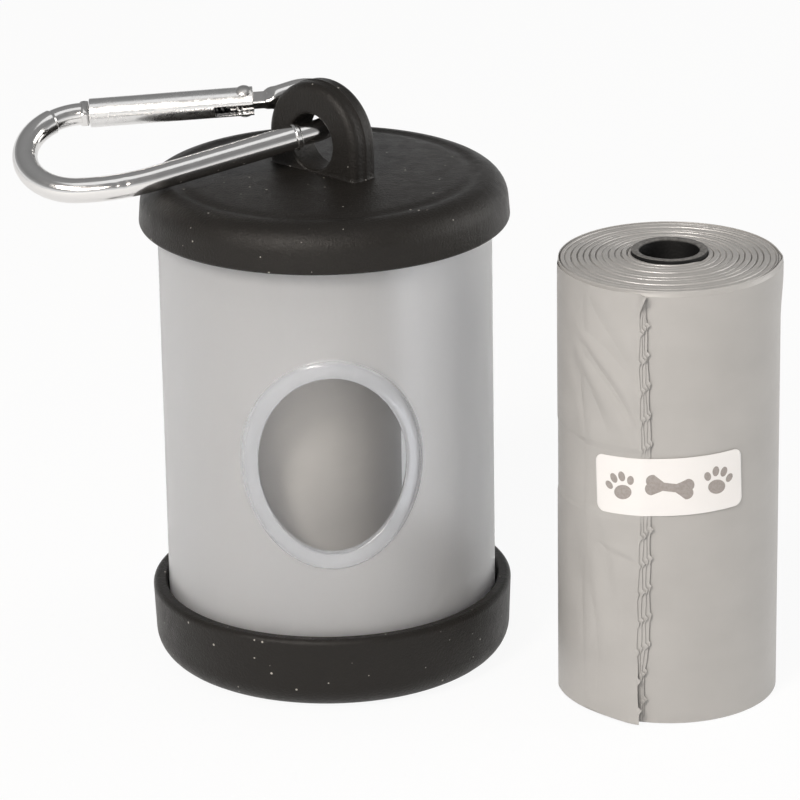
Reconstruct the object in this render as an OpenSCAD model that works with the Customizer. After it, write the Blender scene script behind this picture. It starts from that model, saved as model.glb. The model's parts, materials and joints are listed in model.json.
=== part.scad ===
// Waste-bag dispenser: a clear tube between two press-on caps, a bag roll inside it,
// a snap hook through the lug of the top cap, and a spare bag roll standing beside it.
// Millimetres. The origin is on the floor under the dispenser's axis, +Z is up and
// the window faces -Y.

/* [Bag roll] */
// Outer diameter of a full roll of bags
roll_d = 31.7; // [26:0.1:36]
// Height of the roll
roll_h = 65; // [55:0.5:80]
// Outer diameter of the core tube
core_d = 10.8; // [9.5:0.1:13]
// Wall of the core tube
core_wall = 1.25; // [0.8:0.05:1.6]
// How far the core ends sit below the ends of the film
core_inset = 0.4; // [0:0.1:1.5]
// How far the spare roll's core has slid up from its middle place
spare_core_rise = 0.9; // [0:0.1:1.5]
// Thickness of the loose outer bag
outer_bag_t = 0.4; // [0.2:0.05:0.8]
// Thickness of the free flap of the outer bag
flap_t = 0.12; // [0.05:0.01:0.3]
// Angle that the free flap covers
flap_angle = 60; // [20:1:120]
// Angle of the flap's torn edge, from the front towards the left
flap_edge_angle = 15; // [0:1:40]

/* [Label] */
// Length of the label round the roll
label_w = 22.1; // [15:0.1:30]
// Height of the label
label_h = 8.4; // [5:0.1:15]
// Corner radius of the label
label_corner = 1.4; // [0.5:0.1:2.5]
// Thickness of the label
label_t = 0.12; // [0.05:0.01:0.3]
// Height of the label's centre above the roll's middle
label_lift = 3.7; // [-15:0.1:15]
// Angle of the label's centre, from the front towards the left
label_angle = 4.4; // [0:0.1:30]

/* [Spare roll place] */
// Gap between the spare roll and the widest part of the dispenser
spare_gap = 8.7; // [1:0.1:30]
// Direction of the spare roll, from the right towards the front
spare_angle = 20.3; // [0:0.1:60]

/* [Tube] */
// Play between a full roll and the bore of the tube, at one side
roll_play = 7.05; // [3:0.05:10]
// Wall of the tube
tube_wall = 1.2; // [0.8:0.05:1.6]
// Free height in the tube above the roll
headroom = 4; // [3:0.1:8]
// Gap left between the leaning roll and the tube's wall
lean_gap = 1.85; // [1:0.05:2.8]

/* [Window] */
// Width of the oval window
window_w = 21; // [16:0.1:26]
// Height of the oval window
window_h = 26.5; // [18:0.1:34]
// Height of the window's centre above the tube's middle
window_lift = 0.6; // [-4:0.1:4]
// Width of the raised rim round the window
window_rim_w = 2.45; // [1.5:0.05:3.5]
// Height of the raised rim above the tube
window_rim_t = 0.6; // [0.3:0.05:1.2]

/* [Caps] */
// Radial clearance between the tube and the bore of a cap
cap_fit = 0.2; // [0.1:0.01:0.3]
// Radius of the rounded outer edge of a cap
cap_edge_r = 4; // [2.5:0.1:4.5]
// Extra radius of the chamfered mouth of a cap
mouth_flare = 0.6; // [0.3:0.05:0.9]
// Depth of the chamfered mouth
mouth_depth = 1; // [0.5:0.1:2]
// Radius of the outer edge of a cap's rim
rim_round = 0.35; // [0.2:0.05:0.5]
// Height of the bottom cap
base_h = 11.2; // [8:0.1:16]
// Thickness of the bottom cap's floor
base_floor = 2; // [1.6:0.1:2.8]
// Wall of the bottom cap next to its rounded edge
base_wall = 1.7; // [1.5:0.05:2.2]
// How much wider the bottom cap is at its rim
base_flare = 0.45; // [0.1:0.05:0.9]
// Height of the top cap at its shoulder
top_h = 6.7; // [6:0.1:10]
// Thickness of the top cap's deck at its shoulder
top_deck = 1.8; // [1.4:0.1:2.4]
// Wall of the top cap next to its rounded edge
top_wall = 1.9; // [1.6:0.05:2.2]
// How much wider the top cap is at its rim
top_flare = 0.55; // [0.1:0.05:0.9]
// Rise of the top cap's deck in its middle
top_dome = 0.7; // [0.3:0.1:1.5]
// Gap between the tube's upper end and the top cap's deck
top_gap = 0.2; // [0.1:0.05:0.5]

/* [Lug] */
// Radius of the hole in the lug
lug_hole_r = 4.15; // [3.9:0.05:5]
// Width of the lug's web round its hole
lug_web = 4.45; // [3:0.05:6]
// Thickness of the lug
lug_t = 4.8; // [4:0.1:5]
// Chamfer of the lug's outer edges
lug_edge = 0.9; // [0.4:0.05:1.2]
// Chamfer of the edges of the lug's hole
lug_hole_edge = 0.7; // [0.5:0.05:1]
// Height of the hole's lowest point above the deck's middle
lug_lift = 0.25; // [0:0.05:2]
// Depth of the lug's foot in the deck, below the shoulder
lug_sink = 0.3; // [0.1:0.05:1]
// Distance of the lug to the right of the cap's axis
lug_x = -0.1; // [-1:0.05:1]
// Turn of the lug about the cap's axis
lug_turn = -45; // [-60:1:-30]

/* [Hook frame] */
// Diameter of the hook's rod
rod_d = 3.6; // [3.3:0.05:3.8]
// Diameter of the rod's thinner ends
rod_end_d = 3.2; // [2.6:0.05:3.3]
// Length of the straight spine
spine_len = 24.1; // [22:0.1:28]
// Distance of the raised seam from the start of the spine
seam_u = 21.1; // [18:0.1:21.5]
// Width of the raised seam
seam_w = 0.5; // [0.3:0.05:0.8]
// Height of the raised seam above the rod
seam_t = 0.2; // [0.1:0.05:0.4]
// Radius of the gentle bend next to the spine
gentle_r = 30.4; // [20:0.1:40]
// Angle of the gentle bend
gentle_angle = 21.4; // [15:0.1:26]
// Radius of the big bend
big_r = 8.15; // [7.5:0.05:9]
// Angle of the big bend
big_angle = 176.3; // [174:0.1:178]
// Angle of the big bend's thinner last stretch
nose_angle = 30; // [10:1:45]
// Radius of the small bend, behind the lug
small_r = 4.7; // [4.2:0.05:5.2]
// Angle of the hook's plane about its spine
hook_roll = 23.1; // [15:0.1:35]
// Heading of the spine in plan
hook_heading = 15; // [5:0.5:20]
// Gap between the spine and the rim of the cap that it lies on
rest_gap = 0.15; // [0.1:0.05:0.5]
// Share of the free room in the lug's hole that the rod has moved from its centre
hang_share = 0.5; // [0.3:0.01:0.52]
// Direction of that move in the lug's plane, from its right-hand side upwards
hang_angle = 122; // [90:1:125]
// Distance from the end of the spine to the rod's place in the lug's hole
hang_u = 0.4; // [0:0.1:2]

/* [Gate] */
// Outer diameter of the gate
gate_d = 4.2; // [3.9:0.05:4.6]
// Length of the gate from its pivot to the nose
gate_len = 22.35; // [20:0.05:24]
// Length of the gate behind its pivot
gate_tail = 1.3; // [1:0.05:1.6]
// Diameter of the bores in the gate's ends
gate_bore = 3; // [2.9:0.05:3.1]
// Depth of the bore for the spring, from the pivot
spring_bore = 10; // [8:0.1:14]
// Gap between the gate's end and the nose
nose_gap = 0.35; // [0.2:0.05:0.6]
// Thickness of the flattened tang in the gate
tang_t = 1.4; // [1.1:0.05:1.6]
// Clearance of the tang's edges in the gate's bore
tang_fit = 0.07; // [0.04:0.01:0.12]
// Length of the flattened tang from its pivot
tang_len = 3.4; // [3.2:0.1:4.2]
// Distance of the centre of the tang's cam from the pivot
cam_out = 1.1; // [0.9:0.05:1.2]
// Angle of the cam's centre from the gate's axis
cam_angle = 50; // [45:1:55]
// Length of the gate's slot for the tang, from the pivot
tang_slot_len = 4.3; // [3:0.1:6]
// Diameter of the rivet's shank
rivet_d = 1.4; // [1.1:0.05:1.6]
// Diameter of the rivet's heads
rivet_head_d = 2.3; // [1.9:0.05:2.6]
// Height of the rivet's heads
rivet_head_t = 0.55; // [0.3:0.05:0.9]
// Depth of the seats of the rivet's heads in the gate
head_sink = 0.15; // [0.05:0.05:0.3]
// Clearance of the rivet's shank in the tang, and of its heads in their seats
rivet_fit = 0.05; // [0.03:0.01:0.1]
// Clearance of the rivet's shank in the gate
rivet_snug = 0.02; // [0.01:0.01:0.03]
// Length of the nose's round stub
nose_stub = 1.2; // [0.9:0.05:1.6]
// Width of the nose's cross-bar
bar_w = 2.5; // [2.1:0.05:2.6]
// Thickness of the nose's cross-bar along the gate
bar_t = 1.1; // [0.8:0.05:1.4]
// Distance from the gate's end to the inner face of the cross-bar
bar_inset = 1.9; // [1.7:0.05:2.4]
// Room on both sides of the cross-bar along the gate
bar_room = 0.25; // [0.2:0.05:0.4]
// Thickness of the nose's neck
neck_t = 1.2; // [0.9:0.05:1.4]
// Height of the neck and the cross-bar across the gate
neck_h = 2.25; // [1.8:0.05:2.4]
// Clearance round the nose and the tang in the gate
slot_fit = 0.15; // [0.1:0.01:0.2]

/* [Plunger and spring] */
// Diameter of the plunger's head
plunger_d = 2.7; // [2.4:0.05:2.8]
// Thickness of the plunger's head
plunger_t = 0.8; // [0.5:0.05:1.2]
// Diameter of the plunger's stem
stem_d = 1.2; // [0.8:0.05:1.4]
// Length of the plunger's stem
stem_len = 3; // [2:0.1:4]
// Gap between the plunger and the tang's cam
cam_gap = 0.06; // [0.04:0.01:0.1]
// Wire diameter of the spring
wire_d = 0.4; // [0.3:0.02:0.5]
// Outer diameter of the spring
spring_d = 2.6; // [2.3:0.05:2.7]
// Turns of the spring
spring_turns = 8; // [5:1:10]
// Free room behind the spring for the plunger's travel
spring_room = 0.4; // [0.36:0.02:0.6]

/* [Hidden] */
$fn = 96;
// Overlap that makes cutters pass a face
past = 1;
// Gap between layers that lie on each other
layer_gap = 0.05;
// Every second stretch of the bent rod is this much thinner and laps into its neighbours
rod_step = 0.01;
rod_lap = 0.2;
// How far the neck and the tang reach into the round rod
flat_root = 0.4;

// Rolls
roll_r = roll_d / 2;
core_r = core_d / 2;
film_r = roll_r - outer_bag_t - layer_gap;
label_r = roll_r + flap_t + layer_gap / 2;
label_z = roll_h / 2 + label_lift;

// Tube
tube_bore_r = roll_r + roll_play;
tube_r = tube_bore_r + tube_wall;
tube_h = roll_h + headroom;
window_z = base_floor + tube_h / 2 + window_lift;
window_a = window_w / 2;
window_b = window_h / 2;
window_edge_angle = asin(window_a / tube_r);
rim_a = window_a + window_rim_w * cos(window_edge_angle);
rim_b = window_b + window_rim_w;
roll_x = -(tube_bore_r - roll_r - lean_gap);

// Caps
cap_bore_r = tube_r + cap_fit;
mouth_r = cap_bore_r + mouth_flare;
base_side_r = cap_bore_r + base_wall;
top_side_r = cap_bore_r + top_wall;
deck_under_z = base_floor + tube_h + top_gap;
shoulder_z = deck_under_z + top_deck;
deck_z = shoulder_z + top_dome;

// Spare roll
spare_reach = top_side_r + top_flare + spare_gap + roll_r;
spare_x = spare_reach * cos(spare_angle);
spare_front = spare_reach * sin(spare_angle);

// Lug
lug_r = lug_hole_r + lug_web;
lug_hole_z = deck_z + lug_lift + lug_hole_r;

// Hook: in its own plane, u runs along the spine and v towards the gate
rod_r = rod_d / 2;
rod_end_r = rod_end_d / 2;
hang = hang_share * (lug_hole_r - rod_end_r);
hook_u = spine_len + hang_u;
hook_x = lug_x + hang * cos(hang_angle) * cos(lug_turn);
hook_y = hang * cos(hang_angle) * sin(lug_turn);
hook_z = lug_hole_z + hang * sin(hang_angle);
// The spine touches the cap's rounded edge, whose section is a circle about this point
edge_centre_r = top_side_r - cap_edge_r;
edge_centre_z = shoulder_z - cap_edge_r;
to_edge = edge_centre_r + hook_x * cos(hook_heading) + hook_y * sin(hook_heading);
to_edge_down = hook_z - edge_centre_z;
rest_reach = cap_edge_r + rod_r + rest_gap;
hook_pitch = atan2(to_edge_down, to_edge) - asin(rest_reach / norm([to_edge, to_edge_down]));

gentle_end = 270 - gentle_angle;
big_end = gentle_end - big_angle;
big_c = [0, gentle_r] + (gentle_r - big_r) * [cos(gentle_end), sin(gentle_end)];
nose_start = big_c + big_r * [cos(big_end), sin(big_end)];
gate_dir = [sin(big_end), -cos(big_end)];
pivot = nose_start + (nose_stub + gate_len) * gate_dir;
gate_turn = atan2(-gate_dir[1], -gate_dir[0]);
knee = pivot + tang_len * gate_dir;
small_c = [spine_len, small_r];
knee_out = knee - small_c;
small_end = atan2(knee_out[1], knee_out[0]) - acos(small_r / norm(knee_out));
small_tip = small_c + small_r * [cos(small_end), sin(small_end)];

// Gate, in its own frame: x from the pivot to the nose, y towards the spine
tang_half_w = sqrt(pow(gate_bore / 2 - tang_fit, 2) - pow(tang_t / 2, 2));
bar_x = gate_len - bar_inset;
cam_r = tang_half_w - cam_out * cos(cam_angle);
plunger_x = tang_half_w + cam_gap;
spring_x0 = plunger_x + plunger_t + layer_gap;
head_seat = gate_d / 2 - head_sink;

function arc(c, r, a0, a1, n) =
    [for (i = [0 : n]) let (a = a0 + (a1 - a0) * i / n) [c[0] + r * cos(a), c[1] + r * sin(a)]];
function oval(a, b, n) = [for (i = [0 : n - 1]) [a * cos(360 * i / n), b * sin(360 * i / n)]];

// Half section of a cap that opens upwards: deck, rounded edge, side, rim, mouth and bore
function deck_points(flat_r, dome) =
    dome == 0 ? [[0, 0]] : [for (i = [0 : 5]) [flat_r * i / 6, -dome * (1 - pow(i / 6, 2))]];
function cap_section(side_r, flare, h, deck, dome) =
    concat(
        deck_points(side_r - cap_edge_r, dome),
        arc([side_r - cap_edge_r, cap_edge_r], cap_edge_r, -90, 0, 8),
        [[side_r + flare, h - rim_round], [side_r + flare - rim_round, h], [mouth_r, h],
         [cap_bore_r, h - mouth_depth], [cap_bore_r, deck], [0, deck]]
    );

module bottom_cap() {
    color("#302f2d")
    rotate_extrude()
    polygon(cap_section(base_side_r, base_flare, base_h, base_floor, 0));
}

module oval_prism(a, b, y0, y1) {
    translate([0, y1, window_z])
    rotate([90, 0, 0])
    linear_extrude(y1 - y0)
    polygon(oval(a, b, 72));
}

module ring(r_out, r_in, h) {
    difference() {
        cylinder(r = r_out, h = h);
        translate([0, 0, -past])
        cylinder(r = r_in, h = h + 2 * past);
    }
}

module tube() {
    color("#d9dcdf")
    difference() {
        union() {
            translate([0, 0, base_floor])
            ring(tube_r, tube_bore_r, tube_h);
            intersection() {
                translate([0, 0, base_floor])
                ring(tube_r + window_rim_t, tube_bore_r, tube_h);
                oval_prism(rim_a, rim_b, -tube_r - past - window_rim_t, -tube_bore_r / 2);
            }
        }
        oval_prism(window_a, window_b, -tube_r - past - window_rim_t, 0);
    }
}

module lug_solid() {
    half_t = lug_t / 2;
    flat_r = lug_r - lug_edge;
    flat_t = half_t - lug_edge;
    foot_z = shoulder_z - lug_sink;
    translate([0, 0, lug_hole_z])
    rotate([90, 0, 0])
    rotate_extrude(angle = 180)
    polygon([[0, -half_t], [flat_r, -half_t], [lug_r, -flat_t], [lug_r, flat_t],
             [flat_r, half_t], [0, half_t]]);
    translate([0, 0, foot_z])
    linear_extrude(lug_hole_z - foot_z)
    polygon([[-flat_r, -half_t], [flat_r, -half_t], [lug_r, -flat_t], [lug_r, flat_t],
             [flat_r, half_t], [-flat_r, half_t], [-lug_r, flat_t], [-lug_r, -flat_t]]);
}

module lug_hole() {
    half_t = lug_t / 2;
    translate([0, 0, lug_hole_z])
    rotate([90, 0, 0])
    rotate_extrude()
    polygon([[0, -half_t - past], [lug_hole_r + lug_hole_edge + past, -half_t - past],
             [lug_hole_r, -half_t + lug_hole_edge], [lug_hole_r, half_t - lug_hole_edge],
             [lug_hole_r + lug_hole_edge + past, half_t + past], [0, half_t + past]]);
}

module top_cap() {
    color("#33322f")
    difference() {
        union() {
            translate([0, 0, shoulder_z])
            mirror([0, 0, 1])
            rotate_extrude()
            polygon(cap_section(top_side_r, top_flare, top_h, top_deck, top_dome));
            translate([lug_x, 0, 0])
            rotate([0, 0, lug_turn])
            lug_solid();
        }
        translate([lug_x, 0, 0])
        rotate([0, 0, lug_turn])
        lug_hole();
    }
}

// Places the hook's plane: the spine hangs in the lug's hole and lies on the cap's edge
module hook_place() {
    translate([hook_x, hook_y, hook_z])
    rotate([0, 0, hook_heading])
    rotate([0, -hook_pitch, 0])
    rotate([hook_roll, 0, 0])
    translate([-hook_u, 0, 0])
    children();
}

module gate_place() {
    hook_place()
    translate([pivot[0], pivot[1], 0])
    rotate([0, 0, gate_turn])
    children();
}

module straight_rod(from, to, r) {
    run = to - from;
    translate([from[0], from[1], 0])
    rotate([0, 0, atan2(run[1], run[0])])
    rotate([0, 90, 0])
    cylinder(r = r, h = norm(run));
}

// A bend of the rod from angle a0 to a1, longer by lap0 and lap1 at its two ends
module bent_rod(centre, bend_r, r, a0, a1, lap0, lap1) {
    from = a0 - lap0 / bend_r * 180 / PI;
    to = a1 + lap1 / bend_r * 180 / PI;
    translate([centre[0], centre[1], 0])
    rotate([0, 0, from])
    rotate_extrude(angle = to - from)
    translate([bend_r, 0])
    circle(r = r);
}

// The flat tang with its cam, in the gate's frame, before its rivet hole is cut
module tang() {
    root_x = tang_len + flat_root;
    linear_extrude(tang_t, center = true)
    union() {
        circle(r = tang_half_w);
        translate([-root_x, -tang_half_w])
        square([root_x, 2 * tang_half_w]);
        translate([cam_out * cos(cam_angle), cam_out * sin(cam_angle)])
        circle(r = cam_r);
    }
}

// The nose in the gate's frame: stub, neck and cross-bar
module nose() {
    bar_mid_x = bar_x + bar_t / 2;
    translate([gate_len + nose_gap, 0, 0])
    rotate([0, 90, 0])
    cylinder(r = rod_end_r - rod_step, h = nose_stub - nose_gap + rod_lap);
    translate([bar_mid_x, -neck_h / 2, -neck_t / 2])
    cube([gate_len + nose_gap + flat_root - bar_mid_x, neck_h, neck_t]);
    translate([bar_x, -neck_h / 2, -bar_w / 2])
    cube([bar_t, neck_h, bar_w]);
}

module carabiner_frame() {
    nose_from = big_end + nose_angle;
    color("#c9cacc")
    hook_place()
    difference() {
        union() {
            straight_rod([0, 0], [seam_u, 0], rod_r);
            straight_rod([seam_u, 0], [seam_u + seam_w, 0], rod_r + seam_t);
            straight_rod([seam_u + seam_w, 0], [spine_len, 0], rod_end_r);
            bent_rod([0, gentle_r], gentle_r, rod_r - rod_step, gentle_end, 270, rod_lap, rod_lap);
            bent_rod(big_c, big_r, rod_r, nose_from, gentle_end, 0, 0);
            bent_rod(big_c, big_r, rod_end_r, big_end, nose_from, 0, rod_lap);
            bent_rod(small_c, small_r, rod_end_r - rod_step, -90, small_end, rod_lap, rod_lap);
            straight_rod(small_tip, knee, rod_end_r);
            translate([pivot[0], pivot[1], 0])
            rotate([0, 0, gate_turn]) {
                tang();
                nose();
            }
        }
        translate([pivot[0], pivot[1], 0])
        cylinder(d = rivet_d + 2 * rivet_fit, h = tang_t + 2 * past, center = true);
    }
}

module carabiner_gate() {
    bar_half = bar_w / 2 + slot_fit;
    neck_half = neck_t / 2 + slot_fit;
    tang_half = tang_t / 2 + slot_fit;
    neck_in = neck_h / 2 + slot_fit;
    pocket_x = bar_x - bar_room;
    color("#d4d5d6")
    gate_place()
    difference() {
        translate([-gate_tail, 0, 0])
        rotate([0, 90, 0])
        cylinder(d = gate_d, h = gate_tail + gate_len);
        // Bore for the tang, the plunger and the spring
        translate([-gate_tail - past, 0, 0])
        rotate([0, 90, 0])
        cylinder(d = gate_bore, h = gate_tail + past + spring_bore);
        // Slot that lets the frame swing towards the spine's side
        translate([-gate_tail - past, 0, -tang_half])
        cube([gate_tail + past + tang_slot_len, gate_d, 2 * tang_half]);
        // Pocket for the cross-bar, open on the outer side
        translate([pocket_x, -gate_d, -bar_half])
        cube([bar_t + 2 * bar_room, gate_d + neck_in, 2 * bar_half]);
        // Slot for the neck
        translate([pocket_x, -gate_d, -neck_half])
        cube([gate_len + past - pocket_x, gate_d + neck_in, 2 * neck_half]);
        // Holes and seats for the rivet
        cylinder(d = rivet_d + 2 * rivet_snug, h = gate_d + past, center = true);
        for (side = [0, 1])
            mirror([0, 0, side])
            translate([0, 0, head_seat])
            cylinder(d = rivet_head_d + 2 * rivet_fit, h = past);
    }
}

module gate_rivet() {
    color("#b9babb")
    gate_place() {
        cylinder(d = rivet_d, h = 2 * head_seat, center = true);
        for (side = [0, 1])
            mirror([0, 0, side])
            translate([0, 0, head_seat])
            rotate_extrude()
            polygon(concat([[0, 0], [rivet_head_d / 2, 0]],
                           [for (i = [1 : 5]) [rivet_head_d / 2 * cos(18 * i),
                                               rivet_head_t * sin(18 * i)]]));
    }
}

module gate_plunger() {
    color("#a8a9ab")
    gate_place()
    translate([plunger_x, 0, 0])
    rotate([0, 90, 0]) {
        cylinder(d = plunger_d, h = plunger_t);
        cylinder(d = stem_d, h = plunger_t + stem_len);
    }
}

// One ring of points of the spring's wire at turn angle a
wire_sides = 6;
steps_per_turn = 16;
function wire_ring(a, r, pitch) =
    [for (k = [0 : wire_sides - 1]) let (b = 360 * k / wire_sides, out = r + wire_d / 2 * cos(b))
        [pitch * a / 360 + wire_d / 2 * sin(b), out * cos(a), out * sin(a)]];

module gate_spring() {
    steps = spring_turns * steps_per_turn;
    coil_r = (spring_d - wire_d) / 2;
    x0 = spring_x0 + wire_d / 2;
    x1 = spring_bore - wire_d / 2 - spring_room;
    pitch = (x1 - x0) / spring_turns;
    points = [for (i = [0 : steps]) each wire_ring(360 * i / steps_per_turn, coil_r, pitch)];
    sides = [for (i = [0 : steps - 1], k = [0 : wire_sides - 1])
        let (j = (k + 1) % wire_sides, a = i * wire_sides, b = a + wire_sides)
        [a + k, a + j, b + j, b + k]];
    first = [for (k = [wire_sides - 1 : -1 : 0]) k];
    last = [for (k = [0 : wire_sides - 1]) steps * wire_sides + k];
    color("#8f9194")
    gate_place()
    translate([x0, 0, 0])
    polyhedron(points = points, faces = concat(sides, [first, last]));
}

module core() {
    translate([0, 0, core_inset])
    ring(core_r, core_r - core_wall, roll_h - 2 * core_inset);
}

module film() {
    ring(film_r, core_r + layer_gap, roll_h);
}

// Wedge of the space round a roll, from angle a0 to a1 counted from the front (-Y)
module sector(r_in, r_out, h, a0, a1) {
    rotate([0, 0, a0 - 90])
    rotate_extrude(angle = a1 - a0)
    translate([r_in, 0])
    square([r_out - r_in, h]);
}

module outer_bag() {
    ring(roll_r, film_r + layer_gap, roll_h);
    sector(roll_r - outer_bag_t / 2, roll_r + flap_t, roll_h,
           -flap_edge_angle - flap_angle, -flap_edge_angle);
}

module loaded_place() {
    translate([roll_x, 0, base_floor])
    children();
}

module spare_place() {
    translate([spare_x, -spare_front, 0])
    children();
}

module loaded_core() {
    color("#2b2a29")
    loaded_place()
    core();
}

module loaded_film() {
    color("#9f9b97")
    loaded_place()
    film();
}

module loaded_outer_bag() {
    color("#aaa6a2")
    loaded_place()
    ring(roll_r, film_r + layer_gap, roll_h);
}

module spare_core() {
    color("#2b2a29")
    spare_place()
    translate([0, 0, spare_core_rise])
    core();
}

module spare_film() {
    color("#9f9b97")
    spare_place()
    film();
}

module spare_outer_bag() {
    color("#aaa6a2")
    spare_place()
    outer_bag();
}

module spare_label() {
    half_angle = label_w / 2 / label_r * 180 / PI;
    w = label_r * sin(half_angle) - label_corner;
    h = label_h / 2 - label_corner;
    color("#f4f3f0")
    spare_place()
    intersection() {
        translate([0, 0, label_z - label_h / 2])
        sector(label_r, label_r + label_t, label_h,
               -label_angle - half_angle, -label_angle + half_angle);
        rotate([0, 0, -label_angle])
        translate([0, 0, label_z])
        rotate([90, 0, 0])
        linear_extrude(label_r + past)
        polygon(concat(arc([w, h], label_corner, 0, 90, 6), arc([-w, h], label_corner, 90, 180, 6),
                       arc([-w, -h], label_corner, 180, 270, 6), arc([w, -h], label_corner, 270, 360, 6)));
    }
}

bottom_cap();
tube();
top_cap();
carabiner_frame();
carabiner_gate();
gate_rivet();
gate_plunger();
gate_spring();
loaded_core();
loaded_film();
loaded_outer_bag();
spare_core();
spare_film();
spare_outer_bag();
spare_label();
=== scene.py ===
"""Looks of a waste-bag dispenser with its snap hook, and of the spare roll of bags beside it.

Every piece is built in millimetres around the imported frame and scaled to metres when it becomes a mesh.
"""

import json
import random
from math import acos, asin, atan2, copysign, cos, degrees, exp, hypot, pi, radians, sin, sqrt, tan

import bpy
import bmesh
import numpy as np
from mathutils import Matrix, Vector

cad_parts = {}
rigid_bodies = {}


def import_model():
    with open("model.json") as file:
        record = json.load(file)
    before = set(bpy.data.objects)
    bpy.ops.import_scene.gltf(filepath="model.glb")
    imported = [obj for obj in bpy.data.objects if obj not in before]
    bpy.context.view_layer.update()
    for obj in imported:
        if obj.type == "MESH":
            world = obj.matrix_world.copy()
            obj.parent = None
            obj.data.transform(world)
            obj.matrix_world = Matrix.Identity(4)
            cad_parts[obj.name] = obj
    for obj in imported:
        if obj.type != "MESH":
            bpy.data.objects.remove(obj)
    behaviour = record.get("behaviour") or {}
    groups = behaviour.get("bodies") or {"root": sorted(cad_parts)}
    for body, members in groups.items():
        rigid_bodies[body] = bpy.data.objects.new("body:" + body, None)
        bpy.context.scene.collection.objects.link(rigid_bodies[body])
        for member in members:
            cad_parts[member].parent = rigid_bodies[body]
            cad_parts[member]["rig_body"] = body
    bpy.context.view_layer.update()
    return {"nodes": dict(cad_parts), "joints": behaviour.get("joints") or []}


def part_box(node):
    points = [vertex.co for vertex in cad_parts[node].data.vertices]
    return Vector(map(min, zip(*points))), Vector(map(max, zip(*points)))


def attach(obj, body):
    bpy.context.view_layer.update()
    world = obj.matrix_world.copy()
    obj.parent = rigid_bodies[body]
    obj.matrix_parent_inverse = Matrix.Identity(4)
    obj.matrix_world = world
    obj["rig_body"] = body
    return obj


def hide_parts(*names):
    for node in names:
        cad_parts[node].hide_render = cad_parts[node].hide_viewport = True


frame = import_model()
scene = bpy.context.scene
MM = 0.001


# ---- sizes from the frame

def box_mm(node):
    """The low and the high corner of a CAD node, in millimetres."""
    low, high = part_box(node)
    return np.array(low) / MM, np.array(high) / MM


base_high = box_mm("bottom_cap")[1]
tube_low, tube_high = box_mm("tube")
top_low, top_high = box_mm("top_cap")
core_low, core_high = box_mm("loaded_core")
bag_low, bag_high = box_mm("loaded_outer_bag")
spare_core_low, spare_core_high = box_mm("spare_core")
spare_film_low, spare_film_high = box_mm("spare_film")
label_low, label_high = box_mm("spare_label")
joints = {j["name"]: j for j in frame["joints"]}

TUBE_R = tube_high[0]
TUBE_WALL = 1.2
TUBE_BORE_R = TUBE_R - TUBE_WALL
TUBE_Z0, TUBE_Z1 = tube_low[2], tube_high[2]
# The oval window: its half axes and middle, and the thickness and width of the raised rim round it
WINDOW_A, WINDOW_B = 10.5, 13.25
WINDOW_RISE = 0.6
WINDOW_Z = (TUBE_Z0 + TUBE_Z1) / 2 + WINDOW_RISE
RIM_T = -tube_low[1] - TUBE_R
RIM_W = 2.45

# Both caps: the room round the tube, the flared mouth, and the fillets
CAP_FIT, MOUTH_FLARE, MOUTH_DEPTH = 0.2, 0.3, 1
CAP_BORE_R = TUBE_R + CAP_FIT
MOUTH_R = CAP_BORE_R + MOUTH_FLARE
CAP_EDGE_R, LIP_FILLET, BORE_FILLET = 4.0, 0.25, 0.3
# Each cap's side is narrower at its closed end by the draft
BASE_DRAFT, BASE_FLOOR = 0.45, 2
BASE_RIM_R, BASE_H = base_high[0], base_high[2]
BASE_SIDE_R = BASE_RIM_R - BASE_DRAFT
TOP_DRAFT, TOP_PLATE, TOP_H, DECK_DOME = 0.55, 1.8, 6.7, 0.7
TOP_RIM_R, TOP_RIM_Z = top_high[0], top_low[2]
TOP_SIDE_R = TOP_RIM_R - TOP_DRAFT
SHOULDER_Z = TOP_RIM_Z + TOP_H
DECK_Z = SHOULDER_Z + DECK_DOME

LUG_AT = np.array(joints["hook_swing"]["pos_m"]) / MM
LUG_TURN = radians(-45)
LUG_HOLE_R = 4.15
LUG_R = top_high[2] - LUG_AT[2]
LUG_HALF_T = 2.4

ROLL_R = (bag_high[0] - bag_low[0]) / 2
ROLL_H = bag_high[2] - bag_low[2]
CORE_R = (core_high[0] - core_low[0]) / 2
CORE_WALL = 1.25
CORE_BORE_R = CORE_R - CORE_WALL
FILM_R = (spare_film_high[0] - spare_film_low[0]) / 2
ROLL_AT = np.array([(bag_low[0] + bag_high[0]) / 2, 0.0])
SPARE_AT = (spare_core_low[:2] + spare_core_high[:2]) / 2
# How far the spare core stands out above the roll, which is CORE_RISE more than in the CAD
CORE_RISE = 0.55
CORE_OUT = spare_core_high[2] - ROLL_H + CORE_RISE


# ---- mesh helpers

def new_piece(name, points, faces, material, body, replaced, sharp=40, merge=0.0):
    """A mesh piece from millimetre points, which rides on a body."""
    mesh = bpy.data.meshes.new(name)
    mesh.from_pydata([Vector(p) * MM for p in points], [], faces)
    if merge:
        bm = bmesh.new()
        bm.from_mesh(mesh)
        bmesh.ops.remove_doubles(bm, verts=bm.verts, dist=merge * MM)
        bmesh.ops.recalc_face_normals(bm, faces=bm.faces)
        bm.to_mesh(mesh)
        bm.free()
    mesh.validate()
    mesh.shade_smooth()
    if sharp:
        mesh.set_sharp_from_angle(angle=radians(sharp))
    mesh.materials.append(material)
    piece = bpy.data.objects.new(name, mesh)
    scene.collection.objects.link(piece)
    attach(piece, body)
    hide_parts(*replaced)
    return piece


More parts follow.
